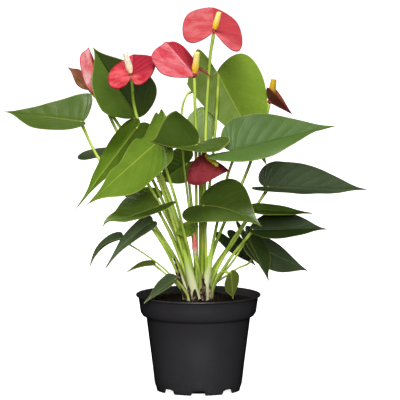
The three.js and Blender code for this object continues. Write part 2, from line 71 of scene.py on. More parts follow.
class Shade:
    """A socket of a finish. Arithmetic on shades adds Math nodes."""

    def __init__(self, tree, socket=None):
        self.tree = tree
        self.socket = socket

    def node(self, kind, settings=None, sockets=None, out=0):
        """A new node. Its settings are set before the values or links of its sockets."""
        made = self.tree.nodes.new("ShaderNode" + kind)
        for name, value in (settings or {}).items():
            setattr(made, name, value)
        for name, value in (sockets or {}).items():
            if isinstance(value, Shade):
                self.tree.links.new(value.socket, made.inputs[name])
            else:
                made.inputs[name].default_value = value
        return Shade(self.tree, made.outputs[out])

    def maths(self, operation, *others):
        values = dict(enumerate((self, *others)))
        return self.node("Math", {"operation": operation}, values)

    def __add__(self, other):
        return self.maths("ADD", other)

    __radd__ = __add__

    def __mul__(self, other):
        return self.maths("MULTIPLY", other)

    __rmul__ = __mul__

    def __sub__(self, other):
        return self.maths("SUBTRACT", other)

    def __rsub__(self, other):
        return self.node("Math", {"operation": "SUBTRACT"}, {0: other, 1: self})

    def __abs__(self):
        return self.maths("ABSOLUTE")

    def rising(self, low, high):
        """0 below low, 1 above high and a smooth step between, or falling where low is above."""
        return self.node("MapRange", {"interpolation_type": "SMOOTHSTEP"},
                         {"Value": self, "From Min": low, "From Max": high})

    def between(self, below, above):
        """The colour that is below where this shade is 0 and above where it is 1."""
        return self.node("Mix", {"data_type": "RGBA"}, {0: self, 6: below, 7: above}, out=2)

    def scaled(self, share):
        """This colour made lighter or darker by a share."""
        return self.node("VectorMath", {"operation": "SCALE"}, {0: self, "Scale": share})

    def cloudy(self, size, detail=3.0, roughness=0.55):
        """Noise between 0 and 1 on this place, with lumps of about size mm."""
        return self.node("TexNoise", {}, {"Vector": self, "Scale": 1 / (size * MM),
                                          "Detail": detail, "Roughness": roughness})

    def squeezed(self, share):
        """This place with its Z scaled: a pattern runs upright below 1 and in rings above 1."""
        return self.node("Mapping", {}, {0: self, 3: (1, 1, share)})

    def streaky(self, share, scale, detail=3.0):
        """Noise between 0 and 1 on the squeezed place, with about scale lumps to the metre."""
        return self.node("TexNoise", {}, {"Vector": self.squeezed(share), "Scale": scale,
                                          "Detail": detail})

    def cells(self, size):
        """How far this place is from the edge of its cell, with cells of about size mm."""
        return self.node("TexVoronoi", {"feature": "DISTANCE_TO_EDGE"},
                         {"Vector": self, "Scale": 1 / (size * MM)})

    def parted(self):
        """The X, Y and Z of this place, each as a shade."""
        first = self.node("SeparateXYZ", {}, {0: self})
        return [Shade(self.tree, socket) for socket in first.socket.node.outputs]


def paint(red, green, blue):
    """A colour given as it shows on a screen, from 0 to 255."""
    parts = [part / 255 for part in (red, green, blue)]
    return (*[part / 12.92 if part <= 0.04045 else ((part + 0.055) / 1.055) ** 2.4
              for part in parts], 1.0)


class Finish:
    """A material with its surface shader, and where its patterns read their place. shine is how
    much of the light mirrors off it, and fixed has what else stays the same all over."""

    def __init__(self, name, shine, **fixed):
        self.material = bpy.data.materials.new(name)
        self.material.use_nodes = True
        self.surface = self.material.node_tree.nodes["Principled BSDF"]
        self.surface.inputs["Specular IOR Level"].default_value = shine
        for socket, value in fixed.items():
            self.surface.inputs[socket.replace("_", " ")].default_value = value
        self.shade = Shade(self.material.node_tree)
        self.place = self.shade.node("TexCoord", out=3)

    def feed(self, colour=None, roughness=None, height=None, strength=0.5, depth=0.3):
        """Links what varies over the surface to its shader, and gives back the material."""
        links = self.material.node_tree.links
        if colour:
            links.new(colour.socket, self.surface.inputs["Base Color"])
        if roughness:
            links.new(roughness.socket, self.surface.inputs["Roughness"])
        if height:
            bump = self.shade.node("Bump", {}, {"Strength": strength, "Distance": depth * MM,
                                                "Height": height})
            links.new(bump.socket, self.surface.inputs["Normal"])
        return self.material


def on_its_own():
    """Leaves edit mode and deselects everything, so that an operator finds only the new piece."""
    if bpy.context.object and bpy.context.object.mode != "OBJECT":
        bpy.ops.object.mode_set(mode="OBJECT")
    bpy.ops.object.select_all(action="DESELECT")


def clad(piece, finish):
    """Gives a piece one finish all over."""
    piece.data.materials.clear()
    piece.data.materials.append(finish)
    return piece


def settle(piece, name, slot, *nodes):
    """Names a finished piece, and seats it in the frame in place of its plain solids."""
    piece.name = name
    piece.data.name = name
    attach(piece, "root")
    if nodes:
        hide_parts(*nodes)


def turned(profile, sides):
    """A ring of edges extruded from place to place along the profile, with both ends closed."""
    on_its_own()
    (radius, height), *rest = profile
    bpy.ops.mesh.primitive_circle_add(vertices=sides, radius=radius * MM, fill_type="NGON")
    bpy.ops.object.mode_set(mode="EDIT")
    bpy.ops.mesh.select_all(action="SELECT")
    bpy.ops.transform.translate(value=(0, 0, height * MM))
    for wider, higher in rest:
        bpy.ops.mesh.extrude_edges_move(
            TRANSFORM_OT_translate={"value": (0, 0, (higher - height) * MM)})
        share = wider / radius
        bpy.ops.transform.resize(value=(share, share, 1), center_override=(0, 0, higher * MM))
        radius, height = wider, higher
    bpy.ops.mesh.edge_face_add()
    bpy.ops.mesh.select_all(action="SELECT")
    bpy.ops.mesh.normals_make_consistent(inside=False)
    bpy.ops.object.mode_set(mode="OBJECT")
    return bpy.context.object


def shaped_by(piece, kind, **settings):
    """Gives the active piece a modifier with its settings, and applies it."""
    modifier = piece.modifiers.new(kind, kind)
    for setting, value in settings.items():
        setattr(modifier, setting, value)
    bpy.ops.object.modifier_apply(modifier=modifier.name)


def smoothed(sharp):
    """Shades the active piece smooth, but for edges of more than sharp degrees."""
    bpy.ops.object.shade_smooth_by_angle(angle=radians(sharp))


def grid(across, along):
    """A flat grid that reaches from -1 to 1 both ways."""
    on_its_own()
    bpy.ops.mesh.primitive_grid_add(x_subdivisions=across, y_subdivisions=along, size=2)
    return bpy.context.object


pot = turned(POT_PROFILE, POT_SIDES)
for corner in pot.data.vertices:
    turn = degrees(atan2(corner.co.x, -corner.co.y)) % (360 / NOTCHES)
    off_notch = min(turn, 360 / NOTCHES - turn)
    on_ring = corner.co.z < ON_TABLE * MM and corner.co.xy.length > FOOT_RING * MM
    if on_ring and off_notch < NOTCH_HALF_ANGLE:
        corner.co.z += NOTCH_HEIGHT * MM
shaped_by(pot, "BEVEL", width=EDGE_ROUNDING * MM, segments=2, limit_method="ANGLE",
          angle_limit=radians(SHARP_EDGE))
smoothed(32)

# The black is duller where hands have held it, scuffed in rings and dusty near the table.
plastic = Finish("black pot plastic", 0.6)
_, _, height = plastic.place.parted()
handled = plastic.place.cloudy(26, 4.0)
grain = plastic.place.cloudy(0.9, 2.0)
dust = plastic.place.cloudy(7, 5.0, 0.7).rising(0.52, 0.78) * height.rising(0.030, 0.004) * 0.5
scuff = plastic.place.streaky(14, 60.0, 4.0).rising(0.6, 0.72) * 0.18
black = handled.between(paint(44, 43, 45), paint(53, 51, 54))
worn = (dust * 0.5 + scuff * 0.6).between(black, paint(74, 67, 60))
clad(pot, plastic.feed(
    worn, handled * 0.14 + 0.34 + dust * 0.4, grain + scuff, strength=0.22, depth=0.1))
settle(pot, "pot_moulding", "pot_plastic", "pot")


# ---------------------------------------------------------------- soil
# The potting mix that fills the pot: dark peat with crumbs, chips of bark and fine root fibres on
# top. It is loose, pressed in by hand, and holds the crown of the plant.
SOIL_Z = 87
SOIL_EDGE = 55.4
SOIL_SIDES = 96
SOIL_RINGS = 26
MOUND = 1.6  # how high the soil is heaped round the crown
MOUND_REACH = 26
SUNK = 1.2  # how far it has sunk at the wall
LUMPS = 1.7
LUMP_SIZE = 7
CRUMBS = 420
soil_dice = random.Random(11)


def soil_height(x, y):
    """How high the potting mix lies at a place, all in mm: a shallow mound with lumps."""
    away = hypot(x, y)
    mound = MOUND * exp(-(away / MOUND_REACH) ** 2) - SUNK * (away / SOIL_EDGE) ** 4
    lumps = noise.fractal(Vector((x, y, 3)) / LUMP_SIZE, 0.7, 2.1, 4) * LUMPS
    return SOIL_Z + 0.6 + mound + lumps * (1 - 0.6 * (away / SOIL_EDGE) ** 6)


def twins(piece, count):
    """The piece and its copies, count in all, each with a mesh of its own."""
    made = [piece]
    for _ in range(count - 1):
        twin = piece.copy()
        twin.data = piece.data.copy()
        bpy.context.collection.objects.link(twin)
        made.append(twin)
    return made


def joined(piece, *others):
    """Joins others into a piece."""
    on_its_own()
    for part in (piece, *others):
        part.select_set(True)
    bpy.context.view_layer.objects.active = piece
    bpy.ops.object.join()


soil_profile = [(26, 1.6), (27.4, 6.2), (40.1, 6.2), (40.7, 8.2), (48.7, 73.5), (52.2, 74.2),
                (54, 77.4), (SOIL_EDGE, 86)]
soil_profile += [(SOIL_EDGE * (1 - k / SOIL_RINGS), SOIL_Z) for k in range(1, SOIL_RINGS)]
soil = turned(soil_profile, SOIL_SIDES)
for corner in soil.data.vertices:
    if corner.co.z > (SOIL_Z - 0.5) * MM:
        corner.co.z = soil_height(corner.co.x / MM, corner.co.y / MM) * MM
bpy.ops.object.shade_smooth()

on_its_own()
bpy.ops.mesh.primitive_ico_sphere_add(subdivisions=1, radius=MM)
crumbs = twins(bpy.context.object, CRUMBS)
for crumb in crumbs:
    away = SOIL_EDGE * 0.96 * sqrt(soil_dice.random())
    angle = soil_dice.uniform(0, 2 * pi)
    size = 0.5 + 1.9 * soil_dice.random() ** 3
    x, y = away * cos(angle), away * sin(angle)
    long = soil_dice.choice((1.0, 1.0, 1.3, 2.2))
    stretch = Matrix.Diagonal((size * long, size, size * soil_dice.uniform(0.4, 0.8), 1))
    spin = (Matrix.Rotation(soil_dice.uniform(0, 6.28), 4, "Z")
            @ Matrix.Rotation(soil_dice.uniform(-0.5, 0.5), 4, "Y"))
    spot = Vector((x, y, soil_height(x, y) + 0.1)) * MM
    crumb.matrix_world = Matrix.Translation(spot) @ spin @ stretch
joined(soil, *crumbs)

peat = Finish("dark potting mix", 0.2)
coarse = peat.place.cloudy(4, 5.0, 0.7)
fine = peat.place.cloudy(0.7, 4.0, 0.7)
bark = peat.place.cloudy(2.4, 2.0).rising(0.56, 0.7)
mixed = coarse.between(paint(13, 8, 5), paint(34, 22, 14))
clad(soil, peat.feed(
    (bark * 0.45).between(mixed, paint(70, 42, 25)), fine * 0.2 + 0.78, fine + coarse,
    strength=0.8, depth=0.8))
settle(soil, "potting_mix", "soil", "soil")


# ---------------------------------------------------------------- leaves
# Each leaf is a leathery heart-shaped blade on a long round stalk: deep green and glossy above,
# paler and dull below, with a pale midrib, arching side veins and a thin pale margin. It grew in
# one piece; the stalk thickens to a knee under the blade and to a pale sheath in the soil.
FOOT_PITCH = 2.7  # how wide the spiral of the crown winds
GOLDEN_ANGLE = 137.508
NECK_Z = 89
ROOTED = 13  # how far a stalk reaches down from there
STALK_FOOT = 1.8
STALK = 1.5
LEAF_STALK = 0.92  # how thick a leaf's stalk is against a flower's
SHEATH = 0.7  # how much thicker a stalk is in its sheath
SHEATH_FADE = 16
KNEE = 5  # how far below the blade the knee lies, and how far it reaches
BLADE = 0.6
BLADE_GRID = (28, 72)  # across and along a blade
VEINS = 15
GROOVE = 0.5  # how deep the midrib lies in the upper face
WARP = 1.8  # how far the margin strays from the smooth heart
WIDEST = 0.05  # where a blade is widest, as a share of its length
# A row has the stalk's spot on the spiral of the crown, the places it passes (via) and its share
# of the usual width (thin), and the blade's base, tip and widest places. Of each half, lobe is how
# far it reaches back past the base, open and crest how square that lobe is, full how long it stays
# wide, flare and cup how its lobe and its middle lift, frill how its margin waves and shade how
# light its green is painted: partly the leaf's own tone, partly painted light and shade, a half
# lighter where light falls on it and darker where it turns from the light or lies in shade. Of
# the whole blade, shoulder and tip_width shape the tip, mid and hook bend the midrib halfway and
# near the tip, wave ripples it, and ribbed and rim widen its pale lines.
PLAIN_BLADE = dict(
    lobe=(0.42, 0.42), open=(0.1, 0.1), crest=(1, 1), full=(0.5, 0.5), shoulder=0.74,
    flare=(0, 0), cup=(0, 0), frill=(0, 0), wave=0, mid=(0, 0, 0), hook=(0, 0, 0), ribbed=1,
    rim=1, shade=(1, 1))
LEAVES = {
    1: dict(spot=17, via=[(-70, 8, 190), (-96, 19, 222)], base=(-111, 15, 258),
            tip=(-188, 50, 264), left=(-147, -18, 254), right=(-105, 30, 284), lobe=(0.2, 0.05),
            full=(0.42, 0.15), tone="fresh"),
    2: dict(spot=1, via=[(-22, 11, 170), (-50, 21, 240)], base=(-60, 20, 263),
            tip=(-102, 64, 325), left=(-93, -12, 273), right=(-42, -12, 299), lobe=(0.08, 0.15),
            full=(0.55, 0.5), shade=(1.1, 0.66), tone="fresh"),
    3: dict(spot=12, base=(-57, 0, 257), tip=(-119, -25, 177), left=(-46, -18, 251),
            right=(-77, 26, 250), lobe=(0.05, 0.1), full=(0.4, 0.38), tip_width=0.03,
            hook=(3, 0, 3), ribbed=2.2, shade=(0.72, 1.06), tone="grassy"),
    4: dict(spot=7, base=(-37, -50, 248), tip=(-107, -32, 183), left=(-37, -75, 216),
            right=(-35, -31, 275), lobe=(0.2, 0.1), crest=(1, 0.6), full=(0.5, 0.35), wave=3,
            frill=(0, 0.2), ribbed=1.4, rim=1.5, tone="meadow"),
    5: dict(spot=15, base=(-1, -38, 242), tip=(-46, -98, 253), left=(19, -61, 240),
            right=(-21, -26, 274), lobe=(0.36, 0.2), open=(0.1, 0.3), crest=(1, 0.5),
            flare=(40, 0), mid=(0, 0, -4), rim=2.2, tone="middle"),
    6: dict(spot=11, base=(5, 34, 269), tip=(4, 12, 226), left=(17, 32, 257),
            right=(-11, 32, 257), lobe=(0.1, 0.1), full=(0.6, 0.6), tone="milky"),
    7: dict(spot=19, base=(-10, 34, 216), tip=(-41, 62, 193), left=(-11, 17, 200),
            right=(-24, 44, 227), full=(0.4, 0.3), shade=(1.6, 1.6), tone="fresh"),
    8: dict(spot=3, via=[(17, 15, 259)], base=(18, 40, 303), tip=(66, -4, 217),
            left=(58, 62, 305), right=(-11, 40, 291), lobe=(0.18, 0.36), full=(0.5, 0.4),
            open=(0.6, 0.1), crest=(1, 0.1), tone="young"),
    9: dict(spot=18, via=[(27, -15, 205)], base=(34, -30, 235), tip=(132, 0, 256),
            left=(39, -20, 267), right=(59, -74, 232), lobe=(0.18, 0.5),
            flare=(0, 12), cup=(0, 7), shade=(0.92, 0.86), tone="silvery"),
    10: dict(spot=8, via=[(40, 0, 153)], base=(65, 14, 195), tip=(164, 48, 188),
             left=(78, 22, 219), right=(100, -14, 192), lobe=(0.15, 0.35), full=(0.55, 0.5),
             shade=(0.9, 0.84), tone="bluish"),
    11: dict(spot=31, base=(4, -42, 184), tip=(60, -87, 170), left=(30, -30, 207),
             right=(-5, -70, 171), lobe=(0.2, 0.3), mid=(0, 0, 5), shade=(0.86, 0.86),
             tone="fresh"),
    12: dict(spot=20, base=(-38, -38, 183), tip=(-91, -53, 165), left=(-42, -61, 179),
             right=(-59, -17, 195), lobe=(0.45, 0.1), full=(0.55, 0.5), hook=(-2, 0, 3),
             shade=(1.14, 1.14), tone="fresh"),
    13: dict(spot=27, base=(-44, 38, 180), tip=(-72, 83, 177), left=(-47, 25, 175),
             right=(-47, 55, 190), lobe=(0.2, 0.5), tone="grassy"),
    14: dict(spot=30, thin=0.6, via=[(-27, 2, 111), (-47, 10, 127)], base=(-74, 20, 144),
             tip=(-105, 24, 116), left=(-75, 4, 145), right=(-79, 38, 147), lobe=(0.1, 0.1),
             mid=(-4, 0, 5), shade=(1.25, 1.25), tone="dusky"),
    15: dict(spot=25, base=(-45, -15, 164), tip=(-90, 0, 117), left=(-43, -37, 160),
             right=(-54, 3, 166), lobe=(0.1, 0.1), full=(0.35, 0.4), mid=(-2, 0, 3),
             shade=(1.75, 1.75), tone="dusky"),
    16: dict(spot=33, thin=0.6, base=(-42, -16, 124), tip=(-69, -20, 117),
             left=(-46, -26, 123), right=(-47, -7, 126), lobe=(0.1, 0.1), mid=(0, 0, 2),
             tone="olive"),
    17: dict(spot=41, thin=0.75, base=(-21, -30, 112), tip=(-52, -46, 91), left=(-28, -43, 106),
             right=(-31, -18, 114), lobe=(0.1, 0.1), shade=(1.15, 1.15), tone="dusky"),
    18: dict(spot=26, thin=0.65, via=[(20, -14, 115)], base=(31, -20, 117), tip=(33, -40, 94),
             left=(39, -14, 112), right=(25, -26, 105), lobe=(0.15, 0.1), shade=(1.2, 0.8),
             tone="olive"),
    19: dict(spot=13, base=(51, -14, 177), tip=(110, 2, 171), left=(65, 6, 180),
             right=(67, -36, 175), lobe=(0.2, 0.2), full=(0.35, 0.5), shade=(0.88, 0.88),
             tone="fresh"),
    20: dict(spot=21, base=(51, 2, 155), tip=(125, 22, 153), left=(72, 13, 171),
             right=(70, -24, 150), lobe=(0.1, 0.1), tone="deep"),
    21: dict(spot=29, thin=0.75, via=[(36, 6, 128)], base=(47, 16, 147), tip=(68, -6, 106),
             left=(65, 20, 137), right=(41, 12, 148), full=(0.5, 0.35), tone="deep"),
    22: dict(spot=16, thin=0.7, via=[(36, 18, 114), (50, 28, 120)], base=(56, 34, 135),
             tip=(107, 58, 107), left=(64, 58, 141), right=(66, 8, 117), tone="bluish"),
    23: dict(spot=32, thin=0.8, base=(32, 42, 139), tip=(56, 72, 110), left=(41, 60, 141),
             right=(25, 30, 134), lobe=(0.4, 0.6), tone="bluish"),
    24: dict(spot=2, thin=0.8, base=(-2, -5, 161), tip=(-23, -14, 153), left=(-6, -14, 151),
             right=(-12, 2, 163), lobe=(0.2, 0.2), shade=(1.6, 1.6), tone="young"),
    25: dict(spot=22, base=(-94, 47, 221), tip=(-74, 99.6, 226), left=(-112, 53, 223),
             right=(-81, 41, 218), lobe=(0.6, 0.3), tone="dusky"),
    26: dict(spot=6, thin=0.8, via=[(-15, 18, 230), (-16, 42, 264), (-11, 50, 280)],
             base=(-3, 55, 284), tip=(27, 99.6, 271), left=(5, 62, 301), right=(9, 60, 274),
             lobe=(0.25, 0.05), tone="young"),
}
GREENS = {  # tone: darker and lighter green of the glossy face, and the green of the dull face
    "young": ((86, 114, 26), (122, 148, 46), (140, 162, 80)),
    "meadow": ((76, 106, 24), (112, 138, 42), (132, 156, 74)),
    "grassy": ((66, 97, 18), (99, 127, 32), (126, 152, 68)),
    "olive": ((76, 88, 28), (100, 114, 44), (120, 136, 66)),
    "silvery": ((64, 92, 34), (88, 116, 52), (120, 146, 80)),
    "milky": ((122, 150, 78), (162, 186, 114), (168, 188, 126)),
    "fresh": ((54, 74, 22), (82, 104, 36), (116, 140, 66)),
    "middle": ((46, 64, 18), (68, 90, 28), (108, 132, 62)),
    "deep": ((36, 52, 20), (58, 76, 32), (92, 114, 60)),
    "bluish": ((50, 66, 42), (76, 92, 58), (104, 122, 82)),
    "dusky": ((60, 76, 50), (90, 106, 68), (112, 128, 88)),
}


def mix(a, b, share):
    """What lies at a share of the way from a to b."""
    return a + (b - a) * share


def bezier(a, b, c, d, share):
    """The place at a share of the curve from a to d that b and c pull at."""
    rest = 1 - share
    return [rest ** 3 * p + 3 * rest * rest * share * q + 3 * rest * share * share * r
            + share ** 3 * s for p, q, r, s in zip(a, b, c, d)]


def foot_of(row):
    """Where a stalk leaves the soil, on the spiral of the crown."""
    away = FOOT_PITCH * sqrt(row["spot"] + 0.6)
    angle = radians(row["spot"] * GOLDEN_ANGLE)
    return away * cos(angle), away * sin(angle)


def via_of(row, end):
    """The places that a stalk passes. One with none of its own rises steeply and leans out late."""
    if "via" in row:
        return [Vector(place) for place in row["via"]]
    x, y = foot_of(row)
    return [Vector((mix(x, end.x, 0.4), mix(y, end.y, 0.4), mix(NECK_Z, end.z, 0.53)))]


def curve_of(count):
    """A curve with count points, and these points."""
    on_its_own()
    bpy.ops.curve.primitive_bezier_curve_add()
    curve = bpy.context.object.data
    curve.bevel_depth = MM
    curve.bevel_resolution = 2
    curve.use_fill_caps = True
    curve.splines[0].bezier_points.add(count - 2)
    return curve, curve.splines[0].bezier_points


def strand(finish):
    """The active curve turned into a solid strand, as thick as the radii of its points."""
    bpy.ops.object.convert(target="MESH")
    return clad(bpy.context.object, finish)


def stalk(row, end, thick, knee=0.0):
    """A round stalk: a curve through its places, thickest in its sheath, with a knee at the end."""
    thin = row.get("thin", 1)
    neck = Vector((*foot_of(row), NECK_Z))
    places = [neck - Vector((0, 0, ROOTED)), neck, *via_of(row, end), end]
    curve, points = curve_of(len(places))
    for k, (point, place) in enumerate(zip(points, places)):
        before = places[max(k - 1, 0)]
        after = places[min(k + 1, len(places) - 1)]
        aim = (after - before).normalized() if k > 1 else Vector((0, 0, 1))
        point.handle_left_type = point.handle_right_type = "FREE"
        point.co = place * MM
        point.handle_left = (place - aim * (place - before).length / 3) * MM
        point.handle_right = (place + aim * (after - place).length / 3) * MM
    bpy.ops.object.mode_set(mode="EDIT")
    bpy.ops.curve.select_all(action="SELECT")
    bpy.ops.curve.subdivide(number_cuts=7)
    bpy.ops.object.mode_set(mode="OBJECT")
    points = curve.splines[0].bezier_points
    run = [0.0]
    for k in range(1, len(points)):
        run.append(run[-1] + (points[k].co - points[k - 1].co).length / MM)
    for point, along in zip(points, run):
        share = along / run[-1]
        width = mix(thick, STALK_FOOT * thin, (1 - share) ** 3)
        in_sheath = SHEATH * thin * exp(-max(along - ROOTED, 0) / SHEATH_FADE)
        bulge = knee * exp(-((run[-1] - along - KNEE) / KNEE) ** 2)
        point.radius = width + in_sheath + bulge
    curve.resolution_u = 3
    return strand(stalk_green)


class Heart:
    """The middle surface of a heart-shaped blade, in mm. t runs round each half from the base
    past the lobe and the widest place to the tip, v from the midrib to the margin."""

    def __init__(self, row):
        self.form = {**PLAIN_BLADE, **row}
        self.base = Vector(row["base"])
        self.along = Vector(row["tip"]) - self.base
        self.across = [Vector(row[side]) - self.base - WIDEST * self.along
                       for side in ("left", "right")]
        self.up = (self.along.cross(self.across[0]).normalized()
                   + self.across[1].cross(self.along).normalized()).normalized()

    def midrib(self, forward):
        """The place on the midrib at a share of the blade's length."""
        bow = 4 * forward * (1 - forward) * (1 if forward > 0 else 0.4)
        late = min(max((forward - 0.55) / 0.45, 0), 1)
        return (self.base + self.along * forward + Vector(self.form["mid"]) * bow
                + Vector(self.form["hook"]) * (late * late * (1 - late) * 6.75))

    def vein_foot(self, t):
        """How far forward on the midrib the side vein starts that ends at t."""
        return max(t * 2 - 1, 0) ** 1.5

    def margin(self, side, t):
        """How far forward and out the margin lies, as shares of the length and of the half."""
        lobe, wide, crest, full = [self.form[key][side]
                                   for key in ("lobe", "open", "crest", "full")]
        if t < 0.5:
            return bezier((0, 0), (-lobe, wide), (-lobe, crest), (WIDEST, 1), t * 2)
        tip_width = self.form.get("tip_width", 0.24 * full)
        return bezier((WIDEST, 1), (WIDEST + 0.8 * full, 1), (self.form["shoulder"], tip_width),
                      (1, 0), t * 2 - 1)

    def surface(self, side, t, v):
        """The place at t and v on a half of the blade, with its waves and lifts."""
        form = self.form
        reach, width = self.margin(side, t)
        forward = (mix(self.vein_foot(t), reach, v)
                   - 0.1 * v * (1 - v) * sin(pi * t))
        past = max(t * 2 - 1, 0)
        frill = (form["frill"][side] * -cos(7.5 * pi * past)
                 * min(past * 15, 1) * v * v)
        outward = v * width * (1 + frill)
        ripple = (form["wave"] * sin(5 * pi * t + side * 1.3) * v * v
                  * sin(pi * t))
        rise = (form["cup"][side] * 4 * outward * (1 - outward)
                + form["flare"][side] * max(0, -forward))
        return self.midrib(forward) + self.across[side] * outward + self.up * (rise + ripple)


def mended(merge=0.0, outwards=True):
    """Merges the corners of the active piece that meet, and turns its faces outwards."""
    bpy.ops.object.mode_set(mode="EDIT")
    bpy.ops.mesh.select_all(action="SELECT")
    if merge:
        bpy.ops.mesh.remove_doubles(threshold=merge * MM)
    if outwards:
        bpy.ops.mesh.normals_make_consistent(inside=False)
    bpy.ops.object.mode_set(mode="OBJECT")


def blade(heart, thickness, veins, pucker, ridge, seed):
    """A fine grid laid on the heart and puckered between its veins, with its thickness and the
    midrib's ridge below. The reach attribute holds how far a corner is from the midrib and from
    the margin, in mm over ribbed and over rim, and the share by which its half's green is painted
    lighter or darker: partly tone, partly painted light and shade."""
    piece = grid(*BLADE_GRID)
    reach = piece.data.attributes.new("reach", "FLOAT_VECTOR", "POINT")
    for k, corner in enumerate(piece.data.vertices):
        side = 0 if corner.co.x < 0 else 1
        v = abs(corner.co.x)
        t = (corner.co.y + 1) / 2
        place = heart.surface(side, t, v)
        from_rib = (place - heart.midrib(heart.vein_foot(t))).length / heart.form["ribbed"]
        from_margin = (place - heart.surface(side, t, 1)).length / heart.form["rim"]
        between = sin(pi * veins * t) ** 2
        patchy = 0.55 + 0.9 * noise.noise(place / 17 + Vector((0, seed, 0)))
        swell = pucker * between * patchy * sin(pi * min(v, 1)) ** 0.7
        groove = -GROOVE * exp(-(from_rib / 1.3) ** 2) if t > 0.5 else 0
        warp = noise.noise(place / 24 + Vector((seed, 0, 0))) * WARP * v * v
        place += heart.up * (swell + groove + warp * sin(pi * t))
        # The third part is the half's share of painted light and shade, which scales its green.
        reach.data[k].vector = (from_rib, from_margin, heart.form["shade"][side])
        corner.co = place * MM
    mended(merge=0.02, outwards=False)
    piece.data.materials.append(None)
    piece.data.materials.append(None)
    shaped_by(piece, "SOLIDIFY", thickness=thickness * MM, offset=0, material_offset=1)
    above = {k for face in piece.data.polygons if face.material_index == 0
             for k in face.vertices}
    reach = piece.data.attributes["reach"]
    for k, corner in enumerate(piece.data.vertices):
        from_rib, from_margin, _ = reach.data[k].vector
        if k not in above:
            shrink = min(1, from_margin / 8)
            corner.co -= heart.up * (ridge * shrink * exp(-(from_rib / 1.4) ** 2) * MM)
    return piece


def heart_places(finish):
    """v, t, mm from midrib and margin, 1 on the right half, and the half's painted light share."""
    across, along, _ = finish.shade.node("UVMap", {"uv_map": "UVMap"}).parted()
    from_rib, from_margin, light = finish.shade.node(
        "Attribute", {"attribute_name": "reach"}, out=1).parted()
    return abs(across - 0.5) * 2, along, from_rib, from_margin, across.rising(0.49, 0.51), light


def vein_lines(along, stray, count, width):
    """1 on the side veins, which leave the midrib and arch to the margin, 0 between them."""
    off = abs((along * count + stray + 0.5).maths("FRACT") - 0.5)
    return off.rising(width, width * 0.15)


def glossy_face(tone):
    """The upper face: clouded green, sunken side veins in a fine net, a pale midrib and rim."""
    darker, lighter, _ = GREENS[tone]
    finish = Finish(f"{tone} leaf, glossy face", 0.4)
    v, t, from_rib, from_margin, _, light = heart_places(finish)
    cloud = finish.place.cloudy(22, 4.0)
    mottle = finish.place.cloudy(3.2, 4.0, 0.65)
    net = finish.place.cells(2.4).rising(0.0, 0.1)
    vein = (vein_lines(t, cloud * 0.5 - 0.25, VEINS, 0.10) * v.rising(0.97, 0.86)
            * cloud.rising(0.3, 0.6))
    rib = from_rib.rising(1.1, 0.35)
    rim = from_margin.rising(0.75, 0.3)
    green = (cloud * 0.7 + mottle * 0.5 - 0.1).between(paint(*darker), paint(*lighter))
    # Painted light and shade: the green is scaled by the half's share, lighter where light falls on
    # the half, darker where it is turned from the light or shaded.
    green = (vein * 0.26).between(green, paint(*lighter)).scaled(light)
    pale = paint(*[min(part * 0.5 + 105, 235) for part in lighter[:2]], lighter[2] * 0.7 + 40)
    green = (rib * 0.5).between(green, pale)
    green = (rim * 0.6).between(green, pale)
    return finish.feed(green, mottle * 0.12 + 0.30 + vein * 0.06,
                       net * 0.15 - vein * 0.5 - rib * 0.5 + mottle * 0.2,
                       strength=0.35, depth=0.35)


def dull_face(tone):
    """The under face: paler, hardly glossy, with the veins standing out of it."""
    finish = Finish(f"{tone} leaf, dull face", 0.25)
    v, t, from_rib, _, _, light = heart_places(finish)
    mottle = finish.place.cloudy(4.0, 4.0, 0.65)
    vein = vein_lines(t, 0.0, VEINS, 0.09) * v.rising(0.97, 0.86)
    rib = from_rib.rising(1.6, 0.6)
    below = paint(*GREENS[tone][2])
    deeper = paint(*[part * 0.84 for part in GREENS[tone][2]])
    # Painted light and shade here too: the under face's green is scaled by its half's share.
    green = mottle.between(deeper, below).scaled(light)
    green = (vein * 0.5 + rib * 0.7).between(green, paint(176, 192, 116))
    return finish.feed(green, mottle * 0.1 + 0.52, vein + rib + mottle * 0.3,
                       strength=0.4, depth=0.3)


# The stalks are pale in the crown and yellow-green above it, some deeper than others.
juicy = Finish("juicy green stalk", 0.5)
_, _, up_it = juicy.place.parted()
streaks = juicy.place.streaky(0.08, 1100.0)
blotches = juicy.place.cloudy(9)
by_stalk = juicy.place.squeezed(0.15).cloudy(11, 2.0)
fresh = (by_stalk.rising(0.38, 0.62) * 0.5 + blotches * 0.3 + streaks * 0.3 - 0.05).between(
    paint(128, 166, 26), paint(224, 242, 108))
blanched = up_it.rising(0.125, 0.088) * (blotches * 0.6 + 0.2)
stalk_green = juicy.feed(
    blanched.between(fresh, paint(196, 204, 132)), streaks * 0.12 + 0.36, streaks,
    strength=0.3, depth=0.15)

glossy = {tone: glossy_face(tone) for tone in GREENS}
dull = {tone: dull_face(tone) for tone in GREENS}
for number, row in LEAVES.items():
    heart = Heart(row)
    leaf = blade(heart, BLADE, VEINS, pucker=0.42, ridge=0.7, seed=number * 3.7)
    leaf.data.materials[0] = glossy[row["tone"]]
    leaf.data.materials[1] = dull[row["tone"]]
    stem = stalk(row, heart.midrib(0.03), STALK * row.get("thin", 1) * LEAF_STALK, knee=0.35)
    joined(leaf, stem)
    smoothed(55)
    settle(leaf, f"heart_leaf_{number:02d}", "leaf", f"leaf_{number:02d}")


# ---------------------------------------------------------------- flowers
# A flower is a waxy, puckered red bract on a bare green stem, and a spike of tiny yellow florets
# that stands on it. A small collar joins the three. The red is deepest at the margin and fades
# where a bract ages.
BRACT = 0.8
BRACT_VEINS = 9
COLLAR = 2.3
STALK_GAP = 0.05  # between a stalk and the collar
SPIKE = 2.6
SPIKE_LIFT = 1.3  # how far above the bract's base the spike's line starts
SPIKE_FULLEST = 0.2  # where a spike is thickest, as a share of its length
CORE_RINGS = 14
FLORET = 1.15  # how far apart the florets stand
CURL = (1.6, 1.3, 0.3)  # radii of a rolled-up lobe
GAP = 0.3
